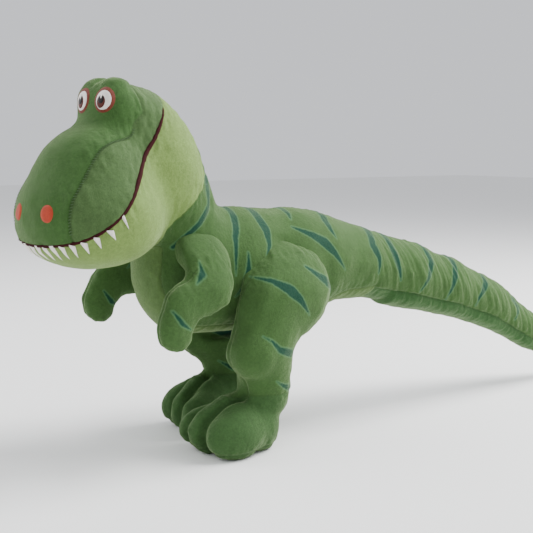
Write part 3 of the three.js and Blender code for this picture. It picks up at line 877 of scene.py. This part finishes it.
# The seam between snout and cheek, [x, z] in mm seen from the front, is overcast by hand.
CHEEK_SEAM = [(37, -8), (38, 8), (38, 30), (36, 64), (33.5, 78)]
STITCH_STEP = 2.4
STITCH = Vector((1.5, 0.34, 0.45))      # half length, width and height of a stitch
for side, sign in SIGN.items():
    rows = np.linspace(CHEEK_SEAM[0][1], CHEEK_SEAM[-1][1], 60)
    xs = np.interp(rows, [p[1] for p in CHEEK_SEAM], [p[0] for p in CHEEK_SEAM])
    seam_points = [on_skin(on_head(sign * x, -70, z), facing(0), 0) for x, z in zip(xs, rows)]
    seam_line = evenly(seam_points, STITCH_STEP)
    bm = bmesh.new()
    for before, here, after in zip(seam_line[:-2], seam_line[1:-1], seam_line[2:]):
        along = (after - before).normalized()
        out = (here - on_head(0, -60, 30)).normalized()
        across = along.cross(out).normalized()
        slant = (across + along * 0.45).normalized()
        turned = Matrix((slant, slant.cross(out).normalized(), out)).transposed().to_4x4()
        size = Matrix.Diagonal((*(STITCH * MM), 1))
        place = Matrix.Translation(here + out * 0.9 * MM) @ turned @ size
        bmesh.ops.create_icosphere(bm, subdivisions=2, radius=1, matrix=place)
    stitch_mesh = bpy.data.meshes.new("stitches")
    bm.to_mesh(stitch_mesh)
    bm.free()
    stitches = new_object(f"cheek_stitches_{side}", stitch_mesh)
    stitches.data.materials.append(SEWING)
    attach(stitches, "head")


# ---- Limbs ----------------------------------------------------------------------------------------------
LEG_STRIPES = [
    ([[-145, 163], [-132, 160], [-118, 152], [-107, 142], [-94, 126]], (0, 10, 0)),
    ([[-92, 170], [-78, 160], [-61, 149], [-50, 133]], (2, 9, 2)),
    ([[-146, 112], [-138, 107], [-129, 98], [-112, 92], [-90, 94]], (0, 7, 7)),
    ([[-129, 68], [-119, 62], [-106, 57], [-90, 56]], (0, 6, 6)),
]
ARM_STRIPES = [
    ([[-204, 182], [-205, 172], [-213, 164]], (0, 5, 0)),
    ([[-237, 143], [-229, 132], [-220, 126]], (1, 4, 1)),
]


def limb_tint(panel):
    """Feet are the body's green painted slightly darker, as painted shade; the cloth of a limb is the same
    throughout.
    """
    return linear(FOOT_GREEN_PAINTED_SHADE if "foot" in panel else BODY_GREEN)


def lean_in(limb, low, high, most):
    """Sews the top of a limb in towards the body: by most mm at height high, by nothing at low."""
    points = coordinates(limb.data)
    t = np.clip((points[:, 2] / MM - low) / (high - low), 0, 1)
    side = np.sign(points[:, 0].mean() - MIDDLE_X)
    points[:, 0] -= side * most * MM * t ** 1.5
    move_to(limb.data, points)


TOE_IN = math.radians(6)
ANKLES = {"left": Vector((42.5, -125.7, 0)) * MM, "right": Vector((-49.5, -107.7, 0)) * MM}
TOE_LINES = [(7, 12), (-15, -7)]       # beside the middle of the foot in mm: at the tips, at the instep
TOE_TIPS = -72                          # y of the tips and of the instep, from the ankle
INSTEP = -26
TOE_FRONT_HEIGHTS = (3, 10, 17)         # where the line up the front of the toes is taken
TOE_TOP = 58                            # above the top of the foot
TOE_CREASE_DEPTH = 5.5
TOE_CREASE_HALF = 3.6


def toe_creases(side, skin):
    """The sewn lines between the toes of one foot, up its front and back over its top."""
    sign = SIGN[side]
    turn = Matrix.Rotation(-TOE_IN * sign, 3, "Z")
    creases = []
    for tip_x, instep_x in TOE_LINES:
        line = []
        for height in TOE_FRONT_HEIGHTS:
            start = ANKLES[side] + turn @ (Vector((tip_x * sign, 2 * TOE_TIPS, height)) * MM)
            line.append(skin.ray_cast(start, turn @ Vector((0, 1, 0)))[0])
        for t in np.linspace(0.12, 1, 8):
            x = tip_x + (instep_x - tip_x) * t
            y = TOE_TIPS + (INSTEP - TOE_TIPS) * t
            start = ANKLES[side] + turn @ (Vector((x * sign, y, TOE_TOP)) * MM)
            line.append(skin.ray_cast(start, Vector((0, 0, -1)))[0])
        found = [p for p in line if p is not None]
        creases.append((found, TOE_CREASE_DEPTH, TOE_CREASE_HALF))
    return creases


def knee(side):
    """The knee stands proud of the front of the leg: its centre, height and radius."""
    return ANKLES[side] + Vector((SIGN[side] * 20, -26, 93)) * MM, 6.0, 21.0


for side in ("left", "right"):
    arm_parts = [f"arm_{part}_{side}" for part in ("outer_panel", "inner_panel")]
    arm_panels = Panels({part: [part] for part in arm_parts})
    arm_stuffing = f"arm_stuffing_{side}"
    arm = closed_skin(f"arm_velour_{side}", [*arm_parts, arm_stuffing])
    fill(arm, arm_panels)
    subdivide(arm, 2)
    lean_in(arm, 158, 212, 47)
    sew(arm, arm_panels, limb_tint, ARM_STRIPES, 0.5)
    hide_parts(*arm_parts, arm_stuffing)

    leg_parts = [
        f"{part}_{side}" for part in ("leg_outer_panel", "leg_inner_panel", "foot_upper", "foot_sole")]
    leg_panels = Panels({part: [part] for part in leg_parts})
    leg_cores = [f"leg_stuffing_{side}", f"foot_stuffing_{side}"]
    leg = closed_skin(f"leg_velour_{side}", [*leg_parts, *leg_cores], voxel=LEG_VOXEL, smoothing=3)
    fill(leg, leg_panels)
    subdivide(leg, 1)
    lean_in(leg, 146, 198, 32)
    sew(leg, leg_panels, limb_tint, LEG_STRIPES, 0.7, toe_creases(side, tree_of([leg.data])), [knee(side)])
    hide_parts(*leg_parts, *leg_cores)

    for piece, bone in ((arm, "arm"), (leg, "leg")):
        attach(piece, f"{bone}_{side}")


# ---- Camera, light and floor ----------------------------------------------------------------------------
VIEW_TURN = math.radians(57)    # how far round to the toy's left the camera stands
VIEW_FAR = 0.961
VIEW_HIGH = 0.281
VIEW_DOWN = math.radians(7)
AIM = Vector((-3.5, -91.7, 0)) * MM     # point on the floor under the view's centre line

camera_data = bpy.data.cameras.new("camera")
camera_data.sensor_width = 36
camera_data.lens = 66.9
camera = bpy.data.objects.new("camera", camera_data)
bpy.context.scene.collection.objects.link(camera)
camera.location = AIM + Vector((
    VIEW_FAR * math.sin(VIEW_TURN), -VIEW_FAR * math.cos(VIEW_TURN), VIEW_HIGH))
camera.rotation_euler = (math.pi / 2 - VIEW_DOWN, 0, VIEW_TURN)
bpy.context.scene.camera = camera


def lamp(name, turn, high, far, size, power):
    """A square soft light at an angle round the toy from straight ahead, aimed at its middle."""
    data = bpy.data.lights.new(name, "AREA")
    data.size = size
    data.energy = power
    made = bpy.data.objects.new(name, data)
    bpy.context.scene.collection.objects.link(made)
    turn = math.radians(turn)
    high = math.radians(high)
    way = Vector((
        math.sin(turn) * math.cos(high), -math.cos(turn) * math.cos(high), math.sin(high)))
    made.location = Vector((0, 0, 0.15)) + way * far
    made.rotation_euler = way.to_track_quat("Z", "Y").to_euler()


lamp("key", 162, 48, 1.8, 1.2, 86)
lamp("front", 10, 55, 1.8, 1.6, 5)
lamp("side", 320, 30, 1.8, 1.2, 16)

floor_material = Nodes("floor")
floor_material.shader.inputs["Base Color"].default_value = (0.86, 0.86, 0.85, 1)
floor_material.shader.inputs["Roughness"].default_value = 0.9
FLOOR_HALF = 6
floor_corners = [(x * FLOOR_HALF, y * FLOOR_HALF, 0) for x, y in ((-1, -1), (1, -1), (1, 1), (-1, 1))]
floor = new_object("floor", mesh_from("floor", floor_corners, [(0, 1, 2, 3)]))
floor.data.materials.append(floor_material.material)

world = bpy.data.worlds.new("studio")
world.use_nodes = True
world.node_tree.nodes["Background"].inputs["Color"].default_value = (0.93, 0.95, 1.0, 1)
world.node_tree.nodes["Background"].inputs["Strength"].default_value = 0.9
bpy.context.scene.world = world
